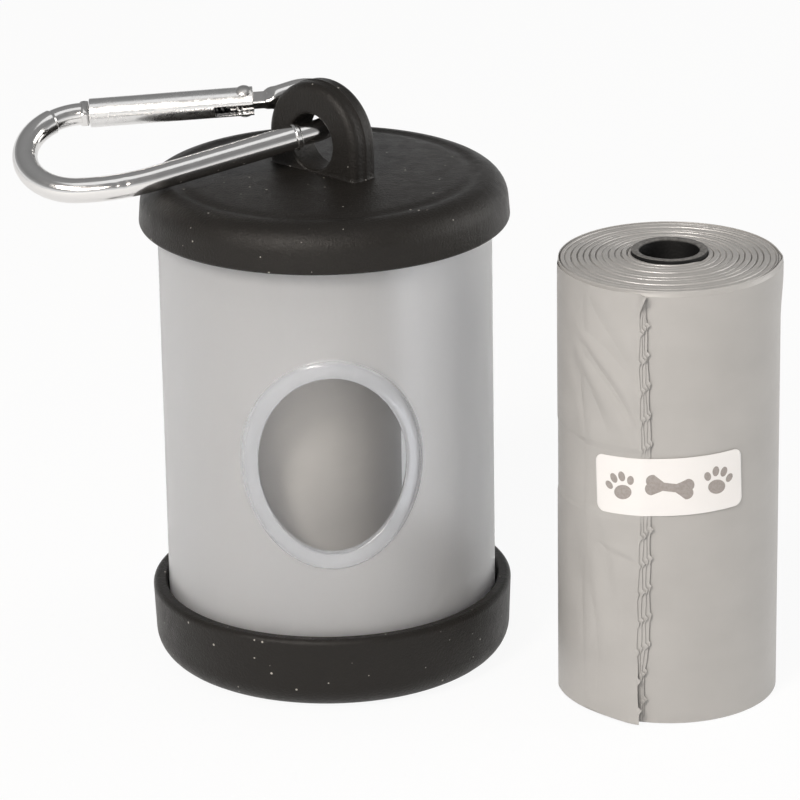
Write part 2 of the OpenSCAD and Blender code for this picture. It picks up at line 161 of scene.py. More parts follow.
def grid_faces(rows, columns, close_rows=False, close_columns=False, start=0):
    """Quads of a grid whose point (row, column) has the index start + row * columns + column."""
    faces = []
    for i in range(rows if close_rows else rows - 1):
        for j in range(columns if close_columns else columns - 1):
            i1, j1 = (i + 1) % rows, (j + 1) % columns
            faces.append((start + i * columns + j, start + i * columns + j1,
                          start + i1 * columns + j1, start + i1 * columns + j))
    return faces


def unit(vector):
    return vector / np.linalg.norm(vector)


def filleted(corners, steps):
    """A closed outline from (x, y, fillet radius) corners, each fillet in so many steps."""
    out = []
    for i, (x, y, r) in enumerate(corners):
        here = np.array((x, y), float)
        if r == 0:
            out.append(tuple(here))
            continue
        back = unit(np.array(corners[i - 1][:2]) - here)
        ahead = unit(np.array(corners[(i + 1) % len(corners)][:2]) - here)
        half = acos(float(np.clip(back @ ahead, -1, 1))) / 2
        centre = here + unit(back + ahead) * r / sin(half)
        first = here + back * r / tan(half) - centre
        last = here + ahead * r / tan(half) - centre
        a0 = atan2(first[1], first[0])
        sweep = (atan2(last[1], last[0]) - a0 + pi) % (2 * pi) - pi
        for k in range(steps + 1):
            a = a0 + sweep * k / steps
            out.append((centre[0] + r * cos(a), centre[1] + r * sin(a)))
    return out


def lathe(profile, segments=192):
    """Points and faces of a closed (r, z) outline turned about the Z axis."""
    points = []
    for i in range(segments):
        a = 2 * pi * i / segments
        points += [(r * cos(a), r * sin(a), z) for r, z in profile]
    return points, grid_faces(segments, len(profile), close_rows=True, close_columns=True)


def turned(rows, angle, centre):
    """Points and faces of a closed skin; a row's radius and height are one number, or one per angle."""
    points = []
    for r, z in rows:
        r, z = r + 0 * angle, z + 0 * angle
        points += [(centre[0] + r[i] * cos(a), centre[1] + r[i] * sin(a), z[i])
                   for i, a in enumerate(angle)]
    return points, grid_faces(len(rows), len(angle), close_rows=True, close_columns=True)


def round_angles(turns):
    return np.linspace(0, 2 * pi, turns, endpoint=False)


def thicken(piece, name, thickness):
    """Gives a sheet its thickness, inwards from the face that is modelled."""
    solid = piece.modifiers.new(name, "SOLIDIFY")
    solid.thickness = thickness * MM
    solid.offset = -1


def soften(piece, width, segments, sharper_than):
    """Rounds every edge that turns by more than an angle in degrees."""
    soft = piece.modifiers.new("soft_edges", "BEVEL")
    soft.width = width * MM
    soft.segments = segments
    soft.limit_method = "ANGLE"
    soft.angle_limit = radians(sharper_than)


def waves(seed, count, turns, per_mm):
    """Random waves round and along a roll: (turns round, radians per mm, phase, weight)."""
    draw = random.Random(seed)
    return [(draw.randint(-turns, turns), draw.uniform(-per_mm, per_mm), draw.uniform(0, 2 * pi),
             draw.uniform(0.3, 1)) for _ in range(count)]


def ripple(angle, z, terms):
    """Sum of the waves at an angle and a height, from about -1 to 1."""
    total = sum(w * np.cos(n * angle + k * z + p) for n, k, p, w in terms)
    return total / sum(w for _, _, _, w in terms)


def ease(x, low, high):
    """A smooth step from 0 at low to 1 at high."""
    t = min(max((x - low) / (high - low), 0.0), 1.0)
    return t * t * (3 - 2 * t)


# ---- materials

def add_node(tree, kind, inputs=(), **settings):
    """A shader node. Each of its inputs is a number, a colour or the output of another node."""
    made = tree.nodes.new(kind)
    for key, value in settings.items():
        setattr(made, key, value)
    for key, value in dict(inputs).items():
        if isinstance(value, bpy.types.NodeSocket):
            tree.links.new(value, made.inputs[key])
        else:
            made.inputs[key].default_value = value
    return made


class Finish:
    """A Principled material that is built node by node."""

    def __init__(self, name, **sockets):
        self.material = bpy.data.materials.new(name)
        self.material.use_nodes = True
        self.tree = self.material.node_tree
        self.shader = self.tree.nodes["Principled BSDF"]
        for key, value in sockets.items():
            self.shader.inputs[key.replace("_", " ")].default_value = value
        self.place = self.node("ShaderNodeTexCoord").outputs["Object"]

    def node(self, kind, inputs=(), **settings):
        return add_node(self.tree, kind, inputs, **settings)

    def stretched(self, x=1, y=1, z=1):
        """Object coordinates in millimetres times a factor along each axis."""
        scale = (x / MM, y / MM, z / MM)
        return self.node("ShaderNodeMapping", {"Vector": self.place, "Scale": scale}).outputs[0]

    def noise(self, vector, scale=1.0, detail=3.0, roughness=0.5, distortion=0.0):
        inputs = {"Vector": vector, "Scale": scale, "Detail": detail, "Roughness": roughness,
                  "Distortion": distortion}
        return self.node("ShaderNodeTexNoise", inputs).outputs[0]

    def span(self, value, low, high, to_low=0.0, to_high=1.0):
        """Maps low..high to to_low..to_high, and stops at both ends."""
        inputs = {"Value": value, "From Min": low, "From Max": high, "To Min": to_low, "To Max": to_high}
        return self.node("ShaderNodeMapRange", inputs).outputs[0]

    def math(self, operation, a, b=0.0):
        return self.node("ShaderNodeMath", {0: a, 1: b}, operation=operation).outputs[0]

    def mix(self, share, a, b):
        """Colour a at a share of 0, and b at 1. Sockets 6, 7 and 2 are the Mix node's colours."""
        return self.node("ShaderNodeMix", {0: share, 6: a, 7: b}, data_type="RGBA").outputs[2]

    def use(self, socket, value):
        self.tree.links.new(value, self.shader.inputs[socket])

    def bump(self, height, strength, distance_mm, under=None):
        inputs = {"Height": height, "Strength": strength, "Distance": distance_mm * MM}
        if under is not None:
            inputs["Normal"] = under
        return self.node("ShaderNodeBump", inputs).outputs[0]


def black_plastic():
    f = Finish("moulded_black", Roughness=0.4, Specular_IOR_Level=0.26)
    mm = f.stretched()
    grain = f.noise(mm, 2.8, 4, 0.65)
    cloud = f.noise(mm, 0.12, 3, 0.55)
    smudge = f.noise(mm, 0.5, 4, 0.6, 0.6)
    # Dust: a dot in some of the cells of a random pattern
    cells = f.node("ShaderNodeTexVoronoi", {"Vector": mm, "Scale": 0.85})
    size = f.span(f.node("ShaderNodeSeparateColor", {0: cells.outputs["Color"]}).outputs[0], 0.7, 1, 0, 0.15)
    dust = f.math("LESS_THAN", cells.outputs["Distance"], size)
    tone = f.mix(cloud, (0.0118, 0.0103, 0.009, 1), (0.0165, 0.0148, 0.013, 1))
    f.use("Base Color", f.mix(dust, tone, (0.42, 0.4, 0.37, 1)))
    f.use("Roughness", f.span(smudge, 0.3, 0.7, 0.31, 0.43))
    f.use("Normal", f.bump(grain, 0.8, 0.14))
    return f.material


def clear_plastic():
    f = Finish("frosted_clear", Roughness=0.3, IOR=1.5, Specular_IOR_Level=0.7, Transmission_Weight=0.72)
    # The thicker rim round the window is whiter than the wall
    x, y, z = f.node("ShaderNodeSeparateXYZ", {0: f.stretched()}).outputs
    band = RIM_W - 0.1
    across = f.math("DIVIDE", x, WINDOW_A + band)
    up = f.math("DIVIDE", f.math("SUBTRACT", z, WINDOW_Z), WINDOW_B + band)
    reach = f.math("SQRT", f.math("ADD", f.math("MULTIPLY", across, across), f.math("MULTIPLY", up, up)))
    rim = f.math("MULTIPLY", f.span(reach, 1.015, 0.985), f.math("LESS_THAN", y, 0.0))
    cloud = f.noise(f.stretched(0.08, 0.08, 0.03), 1.0, 3, 0.5)
    wall = f.mix(cloud, (0.9, 0.91, 0.93, 1), (0.95, 0.955, 0.965, 1))
    f.use("Base Color", f.mix(rim, wall, (0.93, 0.955, 1.0, 1)))
    f.use("Roughness", f.span(rim, 0, 1, 0.3, 0.16))
    mm = f.stretched(1, 1, 0.25)
    f.use("Normal", f.bump(f.noise(mm, 0.35, 3, 0.5), 0.3, 0.3))
    return f.material


def alloy(name, colour, roughness, along):
    """Bright metal; along is how much the drawing marks are stretched on each axis."""
    f = Finish(name, Base_Color=colour, Metallic=1.0)
    drawn = f.noise(f.stretched(*along), 1.0, 4, 0.6)
    dull = f.noise(f.stretched(), 0.6, 3, 0.6)
    f.use("Roughness", f.span(dull, 0.3, 0.7, roughness * 0.75, roughness * 1.35))
    f.use("Normal", f.bump(drawn, 0.18, 0.05))
    return f.material


def bag_film(name, colour):
    f = Finish(name, Roughness=0.36, IOR=1.5, Specular_IOR_Level=0.55)
    wide = f.noise(f.stretched(0.1, 0.1, 0.16), 1.0, 3, 0.5)
    fine = f.noise(f.stretched(0.5, 0.5, 4), 1.0, 4, 0.6)
    pit = f.noise(f.stretched(), 0.8, 5, 0.65, 0.8)
    dark, pale = (tuple(c * tone for c in colour) + (1,) for tone in (0.965, 1.035))
    f.use("Base Color", f.mix(f.span(wide, 0.3, 0.7), dark, pale))
    f.use("Roughness", f.span(pit, 0.3, 0.7, 0.31, 0.4))
    f.use("Normal", f.bump(fine, 0.1, 0.04, f.bump(pit, 0.1, 0.16)))
    return f.material


def bag_end():
    """The cut ends of the wound film, brushed in rings round the vertical axis."""
    f = Finish("film_edges", Roughness=0.3, Anisotropic=0.88, Specular_IOR_Level=1.0, IOR=1.9)
    tangent = f.node("ShaderNodeTangent", direction_type="RADIAL", axis="Z").outputs[0]
    f.use("Tangent", tangent)
    tone = f.noise(f.stretched(0.5, 0.5, 0.5), 1.0, 4, 0.6)
    f.use("Base Color", f.mix(f.span(tone, 0.3, 0.7), (0.36, 0.352, 0.342, 1), (0.43, 0.42, 0.407, 1)))
    return f.material


def core_plastic():
    f = Finish("rough_black", Roughness=0.6, Specular_IOR_Level=0.3)
    mm = f.stretched()
    rough = f.noise(mm, 2.5, 5, 0.7)
    # The cut ends that face up are paler than the wall: rough scuffs, with a painted highlight of the lit top
    # end mixed in
    facing = f.node("ShaderNodeSeparateXYZ", {0: f.node("ShaderNodeNewGeometry").outputs["Normal"]}).outputs[2]
    scuff_and_highlight = f.math("MULTIPLY", f.span(f.noise(mm, 1.6, 5, 0.7), 0.25, 0.6, 0.25, 1), f.span(facing, 0.3, 0.8))
    f.use("Base Color", f.mix(scuff_and_highlight, (0.005, 0.005, 0.005, 1), (0.2, 0.196, 0.19, 1)))
    f.use("Normal", f.bump(rough, 0.6, 0.15))
    return f.material


def label_paper():
    f = Finish("label_white", Roughness=0.5)
    mm = f.stretched()
    f.use("Base Color", f.mix(f.noise(mm, 0.25, 2), (0.8, 0.79, 0.787, 1), (0.835, 0.825, 0.822, 1)))
    f.use("Normal", f.bump(f.noise(mm, 4, 3, 0.6), 0.12, 0.03))
    return f.material


def print_ink():
    f = Finish("label_ink", Roughness=0.55)
    speckle = f.noise(f.stretched(3, 3, 3), 1.0, 4, 0.6)
    f.use("Base Color", f.mix(f.span(speckle, 0.35, 0.75), (0.30, 0.272, 0.258, 1), (0.38, 0.352, 0.338, 1)))
    return f.material


black = black_plastic()
clear = clear_plastic()
polished = alloy("polished_rod", (0.86, 0.852, 0.845, 1), 0.14, (0.25, 1.2, 1.2))
satin = alloy("satin_tube", (0.84, 0.838, 0.835, 1), 0.24, (0.2, 1.6, 1.6))
steel = alloy("rivet_metal", (0.66, 0.655, 0.65, 1), 0.3, (2, 2, 2))
film = bag_film("film_outside", (0.416, 0.408, 0.398))
edges = bag_end()
core_black = core_plastic()
paper = label_paper()
ink = print_ink()


# ---- caps

def bottom_cap():
    profile = filleted([
        (0, 0, 0), (BASE_SIDE_R, 0, CAP_EDGE_R), (BASE_RIM_R, BASE_H, 0.8), (MOUTH_R, BASE_H, LIP_FILLET),
        (CAP_BORE_R, BASE_H - MOUTH_DEPTH, BORE_FILLET), (CAP_BORE_R, BASE_FLOOR, BORE_FILLET),
        (0, BASE_FLOOR, 0)], 10)
    points, faces = lathe(profile)
    new_piece("cap_bottom", points, faces, black, "base", ["bottom_cap"], merge=0.001)


def deck_profile():
    """The top cap's deck from its middle to its rounded edge: a flat dome with a valley at the edge."""
    flat_r, steps = TOP_SIDE_R - CAP_EDGE_R, 48
    valley_in, valley_width, valley_depth = 0.9, 0.8, 0.2
    out = []
    for k in range(steps + 1):
        r = flat_r * k / steps
        valley = valley_depth * exp(-((r - flat_r + valley_in) / valley_width) ** 2)
        out.append((r, SHOULDER_Z + DECK_DOME * (1 - (r / flat_r) ** 2) - valley))
    return out


def top_cap_shell():
    rounded = filleted([
        (TOP_SIDE_R - CAP_EDGE_R, SHOULDER_Z, 0), (TOP_SIDE_R, SHOULDER_Z, CAP_EDGE_R),
        (TOP_RIM_R, TOP_RIM_Z, 0.5), (MOUTH_R, TOP_RIM_Z, LIP_FILLET),
        (CAP_BORE_R, TOP_RIM_Z + MOUTH_DEPTH, BORE_FILLET), (CAP_BORE_R, SHOULDER_Z - TOP_PLATE, BORE_FILLET),
        (0, SHOULDER_Z - TOP_PLATE, 0)], 12)
    points, faces = lathe(deck_profile() + rounded[1:], 360)
    # Two faint mould lines down the side, half a turn apart
    line_at, line_half, stretch = 144, 0.4, 1.0018
    for i, (x, y, z) in enumerate(points):
        turn = degrees(atan2(y, x)) % 180
        if abs(turn - line_at) < line_half and z < SHOULDER_Z - 1.2 and hypot(x, y) > TOP_SIDE_R - 1:
            points[i] = (x * stretch, y * stretch, z)
    new_piece("cap_top", points, faces, black, "cap", ["top_cap"], merge=0.001)


def lug():
    """The lug is a ring of sections from the hole's wall to its outline and back."""
    # Radii of the three rounded edges, and the mould line's height and half width
    edge, hole_edge, foot, line, line_half = 1.25, 0.4, 0.22, 0.11, 0.16
    hole_rim = LUG_HOLE_R + hole_edge
    # How far the lug goes below the shoulder, and how far the deck's dome has dropped at its foot
    sunk, deck_drop = 0.6, 0.12
    depth = LUG_AT[2] - SHOULDER_Z + sunk
    half = LUG_HALF_T

    def outline(a, inset):
        r = LUG_R - inset
        if sin(a) >= 0:
            return r * cos(a), r * sin(a)
        reach = min(r / max(abs(cos(a)), 1e-9), depth / abs(sin(a)))
        return reach * cos(a), reach * sin(a)

    # (kind, inset from the outline or distance from the hole, place across the thickness)
    section = [("hole", 0, 0)]
    for k in range(7):
        b = pi / 2 * k / 6
        section.append(("hole", hole_edge * (1 - cos(b)), half - hole_edge + hole_edge * sin(b)))
    section += [("face", k / 8, half) for k in range(1, 8)]
    for k in range(9):
        b = pi / 2 * (1 - k / 8)
        section.append(("out", edge - edge * cos(b), half - edge + edge * sin(b)))
    section += [("out", 0, line_half), ("out", -line, 0)]
    section += [(kind, d, -w) for kind, d, w in reversed(section[1:-1])]
    turns = 224
    points = []
    for i in range(turns):
        a = 2 * pi * i / turns
        for kind, d, w in section:
            if kind == "hole":
                s, z = (LUG_HOLE_R + d) * cos(a), (LUG_HOLE_R + d) * sin(a)
            else:
                s, z = outline(a, edge if kind == "face" else d)
                if kind == "face":
                    s += (1 - d) * (hole_rim * cos(a) - s)
                    z += (1 - d) * (hole_rim * sin(a) - z)
                above = LUG_AT[2] + z - (DECK_Z - deck_drop)
                if above < foot:
                    over = foot - max(above, 0)
                    flare = foot - sqrt(max(foot * foot - over * over, 0))
                    s += copysign(flare, s) if abs(s) > LUG_R - 2 * edge else 0
                    w += copysign(flare, w) if abs(w) > half - 0.3 else 0
            points.append((LUG_AT[0] + s * cos(LUG_TURN) - w * sin(LUG_TURN),
                           LUG_AT[1] + s * sin(LUG_TURN) + w * cos(LUG_TURN), LUG_AT[2] + z))
    faces = grid_faces(turns, len(section), close_rows=True, close_columns=True)
    new_piece("cap_lug", points, faces, black, "cap", ["top_cap"], merge=0.001)


# ---- tube with its window

def tube():
    """Both faces of the wall are grids between the window's edge and the unrolled wall's border."""
    # Grid steps: up the wall's seam, along each end, and from the window's edge to the border
    side, lid, reach = 32, 64, 36
    around = 2 * (side + lid)
    corners = ((pi, WINDOW_Z, side // 2), (pi, TUBE_Z1, lid), (-pi, TUBE_Z1, side // 2),
               (-pi, WINDOW_Z, side // 2), (-pi, TUBE_Z0, lid), (pi, TUBE_Z0, side // 2),
               (pi, WINDOW_Z, 0))
    border = []
    for (a0, z0, steps), (a1, z1, _) in zip(corners, corners[1:]):
        border += [(a0 + (a1 - a0) * k / steps, z0 + (z1 - z0) * k / steps) for k in range(steps)]

    def at_window(t, out, r):
        """(angle, height) at a distance out from the window's edge."""
        nx, nz = cos(t) / WINDOW_A, sin(t) / WINDOW_B
        size = hypot(nx, nz)
        angle = asin(WINDOW_A * cos(t) / r) + out * nx / size / r
        return angle, WINDOW_Z + WINDOW_B * sin(t) + out * nz / size

    crest = TUBE_R + RIM_T
    # (distance out from the window's edge, radius) from the bore round the rim to the outside
    section = [
        (0.5, TUBE_BORE_R), (0.22, TUBE_BORE_R + 0.05), (0.05, TUBE_BORE_R + 0.2), (0, TUBE_BORE_R + 0.4),
        (0, crest - 0.3), (0, crest - 0.16), (0.05, crest - 0.05), (0.15, crest), (0.3, crest),
        (0.9, crest), (1.5, crest - 0.03), (1.95, crest - 0.1), (2.2, crest - 0.22), (2.36, crest - 0.4),
        (RIM_W, TUBE_R + 0.1), (RIM_W + 0.12, TUBE_R + 0.01), (RIM_W + 0.5, TUBE_R)]
    # (place in the section, share of the way from the window's edge to the border)
    rings = [(section[0], k / reach) for k in range(reach, 0, -1)]
    rings += [(place, 0) for place in section]
    rings += [(section[-1], k / reach) for k in range(1, reach + 1)]
    points = []
    for (out, r), share in rings:
        for i, (far_angle, far_z) in enumerate(border):
            angle, z = at_window(2 * pi * i / around, out, r)
            angle += (far_angle - angle) * share
            z += (far_z - z) * share
            points.append((r * sin(angle), -r * cos(angle), z))
    faces = grid_faces(len(rings), around, close_columns=True)
    # The tube's two ends join the first and the last ring
    last = (len(rings) - 1) * around
    for i in (*range(side // 2, side // 2 + lid), *range(side + side // 2 + lid, around - side // 2)):
        j = (i + 1) % around
        faces.append((i, j, last + j, last + i))
    new_piece("clear_tube", points, faces, clear, "tube_body", ["tube"], sharp=50, merge=0.002)


# ---- snap hook

HOOK_PIVOT = np.array(joints["gate_swing"]["pos_m"]) / MM
# The rod: a straight spine, a gentle and a big arc to the nose, and a small arc to the tang. GENTLE, BIG
# and NOSE are arcs in degrees.
SPINE_LEN, GENTLE_R, GENTLE = 24.1, 30.4, 21.4
BIG_R, BIG, NOSE = 8.15, 176.3, 30
SMALL_R, GATE_LEN, NOSE_STUB, TANG_LEN = 4.7, 22.35, 1.2, 3.4
# The rod is thinner over the first NOSE degrees, and from the raised seam to the tang
ROD_R, END_R = 1.8, 1.6
SEAM_AT, SEAM_HALF_W, SEAM_H = 21.1, 0.5, 0.22
TANG_HALF_W, TANG_HALF_T = 1.25, 0.7
# The round rod ends this far from the gate, and a flattened block goes on into the gate
NOSE_FREE = 1.15
gentle_end = radians(270 - GENTLE)
big_end = gentle_end - radians(BIG)
big_c = np.array([0, GENTLE_R]) + (GENTLE_R - BIG_R) * np.array([cos(gentle_end), sin(gentle_end)])
gate_dir = np.array([sin(big_end), -cos(big_end)])
nose_start = big_c + BIG_R * np.array([cos(big_end), sin(big_end)])
pivot = nose_start + (NOSE_STUB + GATE_LEN) * gate_dir
gate_turn = atan2(-gate_dir[1], -gate_dir[0])


def hook_frame():
    """Turn and origin of the hook's own plane, from the joints of the gate and the plunger."""
    normal = Vector(joints["gate_swing"]["axis"]).normalized()
    slide = Vector(joints["plunger_slide"]["axis"]).normalized()
    u = Matrix.Rotation(-gate_turn, 3, normal) @ slide
    v = normal.cross(u)
    turn = Matrix((u, v, normal)).transposed()
    origin = Vector(HOOK_PIVOT) - turn @ Vector((pivot[0], pivot[1], 0))
    return turn, origin


HOOK_TURN, HOOK_AT = hook_frame()


def on_hook(u, v, w):
    """A point of the hook's own plane: u along the spine, v towards the gate, w out of the plane."""
    return HOOK_TURN @ Vector((u, v, w)) + HOOK_AT


def on_gate(x, y, z):
    """A point in the gate's frame: x from the pivot to the nose, y across, z along the pivot's axis."""
    c, s = cos(gate_turn), sin(gate_turn)
    return on_hook(pivot[0] + c * x - s * y, pivot[1] + s * x + c * y, z)


def arc(centre, r, a0, a1, steps, turn):
    """(u, v, heading) along an arc, after its first point; the heading is the angle plus a turn."""
    angles = [a0 + (a1 - a0) * k / steps for k in range(1, steps + 1)]
    return [(centre[0] + r * cos(a), centre[1] + r * sin(a), a + turn) for a in angles]


def straight(p, q, steps, heading):
    """(u, v, heading) along a line, after its first point."""
    p, q = np.array(p), np.array(q)
    return [(*(p + (q - p) * k / steps), heading) for k in range(1, steps + 1)]


def rod_path():
    """(u, v, heading) along the rod from the nose to the tang."""
    stub = NOSE_STUB - NOSE_FREE
    out = [(*(nose_start + gate_dir * stub * (1 - k / 4)), gate_turn) for k in range(5)]
    out += arc(big_c, BIG_R, big_end, gentle_end, 160, pi / 2)
    out += arc((0, GENTLE_R), GENTLE_R, gentle_end, radians(270), 40, pi / 2)
    out += straight((0, 0), (SPINE_LEN, 0), 300, 2 * pi)
    knee = pivot + TANG_LEN * gate_dir
    small_c = np.array([SPINE_LEN, SMALL_R])
    to_knee = knee - small_c
    small_end = atan2(to_knee[1], to_knee[0]) - acos(SMALL_R / np.linalg.norm(to_knee))
    out += arc(small_c, SMALL_R, -pi / 2, small_end, 60, 2.5 * pi)
    out += straight(out[-1][:2], knee, 8, small_end + 2.5 * pi)
    out += straight(knee, pivot, 24, gate_turn + 2 * pi)
    return out


def hook_rod():
    path = rod_path()
    ends = [0.0]
    for (u0, v0, _), (u1, v1, _) in zip(path, path[1:]):
        ends.append(ends[-1] + hypot(u1 - u0, v1 - v0))
    length = ends[-1]
    nose_len = NOSE_STUB - NOSE_FREE + BIG_R * radians(NOSE)
    nose_step = 0.35
    spine_from = NOSE_STUB - NOSE_FREE + BIG_R * radians(BIG) + GENTLE_R * radians(GENTLE)
    seam = spine_from + SEAM_AT
    # Dents of use: (distance along the rod, angle round it, depth, length)
    dents = ((spine_from - 4.6, 2.2, 0.08, 0.4), (spine_from - 5.9, 1.9, 0.06, 0.3), (13.5, 0.9, 0.08, 0.4))
    sides = 56
    wobble = waves(5, 14, 3, 1.1)
    points = []
    for (u, v, heading), s in zip(path, ends):
        thick = ROD_R if nose_len < s < seam else END_R
        if nose_len < s < nose_len + nose_step:
            thick += (END_R - ROD_R) * (1 - ease(s, nose_len, nose_len + nose_step))
        thick += SEAM_H * sqrt(max(1 - ((s - seam - 0.15) / SEAM_HALF_W) ** 4, 0))
        # The round section turns into the tang's flat one with rounded corners
        flat = ease(s, length - TANG_LEN - 1.4, length - TANG_LEN + 0.8)
        wide = thick + (TANG_HALF_W - thick) * flat
        high = thick + (TANG_HALF_T - thick) * flat
        power = 2 + 6 * flat
        for k in range(sides):
            b = 2 * pi * k / sides
            c, d = cos(b), sin(b)
            shape = (abs(c) ** power + abs(d) ** power) ** (-1 / power)
            dent = 0.012 * float(ripple(b, s, wobble)) * (1 - flat)
            for at, angle, deep, long in dents:
                dent -= deep * exp(-((s - at) / long) ** 2) * max(cos(b - angle), 0) ** 6
            across = (wide * shape + dent) * c
            w = (high * shape + dent) * d
            points.append(on_hook(u - across * sin(heading), v + across * cos(heading), w))
    rows = len(path)
    faces = grid_faces(rows, sides, close_columns=True)
    points += [on_hook(path[0][0], path[0][1], 0), on_gate(0, 0, 0)]
    for k in range(sides):
        j = (k + 1) % sides
        faces.append((rows * sides, j, k))
        faces.append((rows * sides + 1, (rows - 1) * sides + k, (rows - 1) * sides + j))
    new_piece("hook_rod", points, faces, polished, "hook", ["carabiner_frame"], sharp=35)


def add_stack(points, faces, rings):
    """Adds a closed solid through rings of points in the gate's frame, with a flat face at each end."""
    start, n = len(points), len(rings[0])
    points += [on_gate(*place) for ring in rings for place in ring]
    faces += grid_faces(len(rings), n, close_columns=True, start=start)
    last = start + n * (len(rings) - 1)
    faces += [tuple(range(start, start + n))[::-1], tuple(range(last, last + n))]


def block(x0, x1, y0, y1, z0, z1, bevel):
    """Rings of a box with chamfered edges."""
    outline = filleted([(x0, y0, bevel), (x1, y0, bevel), (x1, y1, bevel), (x0, y1, bevel)], 3)
    mid_x, mid_y = (x0 + x1) / 2, (y0 + y1) / 2
    return [[(x - np.sign(x - mid_x) * shrink, y - np.sign(y - mid_y) * shrink, z) for x, y in outline]
            for z, shrink in ((z0, bevel), (z0 + bevel, 0), (z1 - bevel, 0), (z1, bevel))]


def disc(x, y, r):
    """Rings of a disc as thick as the tang."""
    angles = [2 * pi * k / 40 for k in range(40)]
    return [[(x + rr * cos(b), y + rr * sin(b), z) for b in angles]
            for z, rr in ((-TANG_HALF_T, r - 0.08), (-0.62, r), (0.62, r), (TANG_HALF_T, r - 0.08))]


def nose():
    """Flattened nose with its neck and cross-bar, and the tang's round end with the cam beside it."""
    bar_x = GATE_LEN - 1.9
    points, faces = [], []
    for rings in (block(GATE_LEN + 0.16, GATE_LEN + NOSE_FREE + 0.25, -1.5, 1.5, -1.35, 1.35, 0.28),
                  block(bar_x + 0.4, GATE_LEN + 0.5, -1.12, 1.12, -0.6, 0.6, 0.12),
                  block(bar_x, bar_x + 1.1, -1.12, 1.12, -1.25, 1.25, 0.15),
                  disc(0, 0, TANG_HALF_W), disc(0.707, 0.843, 0.543)):
        add_stack(points, faces, rings)
    new_piece("hook_nose_and_tang", points, faces, polished, "hook", ["carabiner_frame"])


GATE_R, GATE_BORE_R, GATE_TAIL = 2.1, 1.5, 1.3


def gate_tube():
    """A rolled tube with a slot for the tang at one end and an open pocket for the cross-bar at the other."""
    # Half widths of the pocket's mouth, of its wide part and of the tang's slot
    neck, bar, tang = 0.75, 1.4, 0.85
    pocket, pocket_end, tang_slot = GATE_LEN - 2.15, GATE_LEN - 0.55, 4.3
    # Angles from the spine's side, outside and in the bore; the slots' walls lie at one height z

    def near(z):
        return tuple(asin(z / r) for r in (GATE_R, GATE_BORE_R))

    def far(z):
        return tuple(pi - a for a in near(z))

    turns = [near(tang * k / 3) for k in range(4)]
    turns += [tuple(a + (b - a) * k / 24 for a, b in zip(turns[3], far(bar))) for k in range(1, 25)]
    turns += [far(z) for z in (1.25, 1.1, 0.95, neck, 0.5, 0.25, 0.0)]
    turns += [(-a, -b) for a, b in reversed(turns[1:-1])]
    stops = [-GATE_TAIL, 0.0, tang_slot, 12.0, pocket, pocket_end, GATE_LEN]
    step = 0.8
    xs = []
    for a, b in zip(stops, stops[1:]):
        steps = max(1, round((b - a) / step))
        xs += [a + (b - a) * k / steps for k in range(steps)]
    xs.append(GATE_LEN)
    around, long = len(turns), len(xs) - 1
    draw = waves(77, 9, 2, 0.5)

    def solid(i, j):
        """Whether the wall is there between rings i and i + 1, at the angle j."""
        if not 0 <= i < long:
            return False
        x = (xs[i] + xs[i + 1]) / 2
        a, b = turns[j][0], turns[(j + 1) % around][0]
        outer = pi if abs(a - b) > pi else (a + b) / 2
        y, z = GATE_R * cos(outer), abs(GATE_R * sin(outer))
        if x < tang_slot:
            return y <= 0 or z >= tang
        return not (x > pocket and y < 0 and z < (bar if x < pocket_end else neck))

    points = []
    for r, which in ((GATE_R, 0), (GATE_BORE_R, 1)):
        for x in xs:
            for turn in turns:
                rr = r + (0.015 * float(ripple(turn[0], x, draw)) if which == 0 else 0)
                points.append(on_gate(x, rr * cos(turn[which]), rr * sin(turn[which])))
    inner = len(xs) * around
    faces = []
    for i in range(long):
        for j in range(around):
            if not solid(i, j):
                continue
            k = (j + 1) % around
            a, b, c, d = i * around + j, (i + 1) * around + j, (i + 1) * around + k, i * around + k
            faces.append((a, b, c, d))
            faces.append((inner + d, inner + c, inner + b, inner + a))
            for p, q, ni, nj in ((a, d, i - 1, j), (c, b, i + 1, j), (b, a, i, (j - 1) % around), (d, c, i, k)):
                if not solid(ni, nj):
                    faces.append((p, q, inner + q, inner + p))
    piece = new_piece("gate_tube", points, faces, satin, "gate", ["carabiner_gate"], merge=0.0005)
    soften(piece, 0.09, 3, 50)


def dressed(name, node, material, bevel=0.0, sharp=35):
    """A copy of a CAD node with joined corners, smooth shading and softened edges."""
    source = frame["nodes"][node]
    mesh = source.data.copy()
    mesh.name = name
    bm = bmesh.new()
    bm.from_mesh(mesh)
    bmesh.ops.remove_doubles(bm, verts=bm.verts, dist=0.0005 * MM)
    bmesh.ops.dissolve_limit(bm, angle_limit=radians(0.6), verts=bm.verts, edges=bm.edges)
    bm.to_mesh(mesh)
    bm.free()
    mesh.materials.clear()
    mesh.materials.append(material)
    mesh.shade_smooth()
    mesh.set_sharp_from_angle(angle=radians(sharp))
    piece = bpy.data.objects.new(name, mesh)
    scene.collection.objects.link(piece)
    if bevel:
        soften(piece, bevel, 2, 40)
    body = source["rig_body"]
    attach(piece, body)
    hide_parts(node)


# ---- rolls of bags

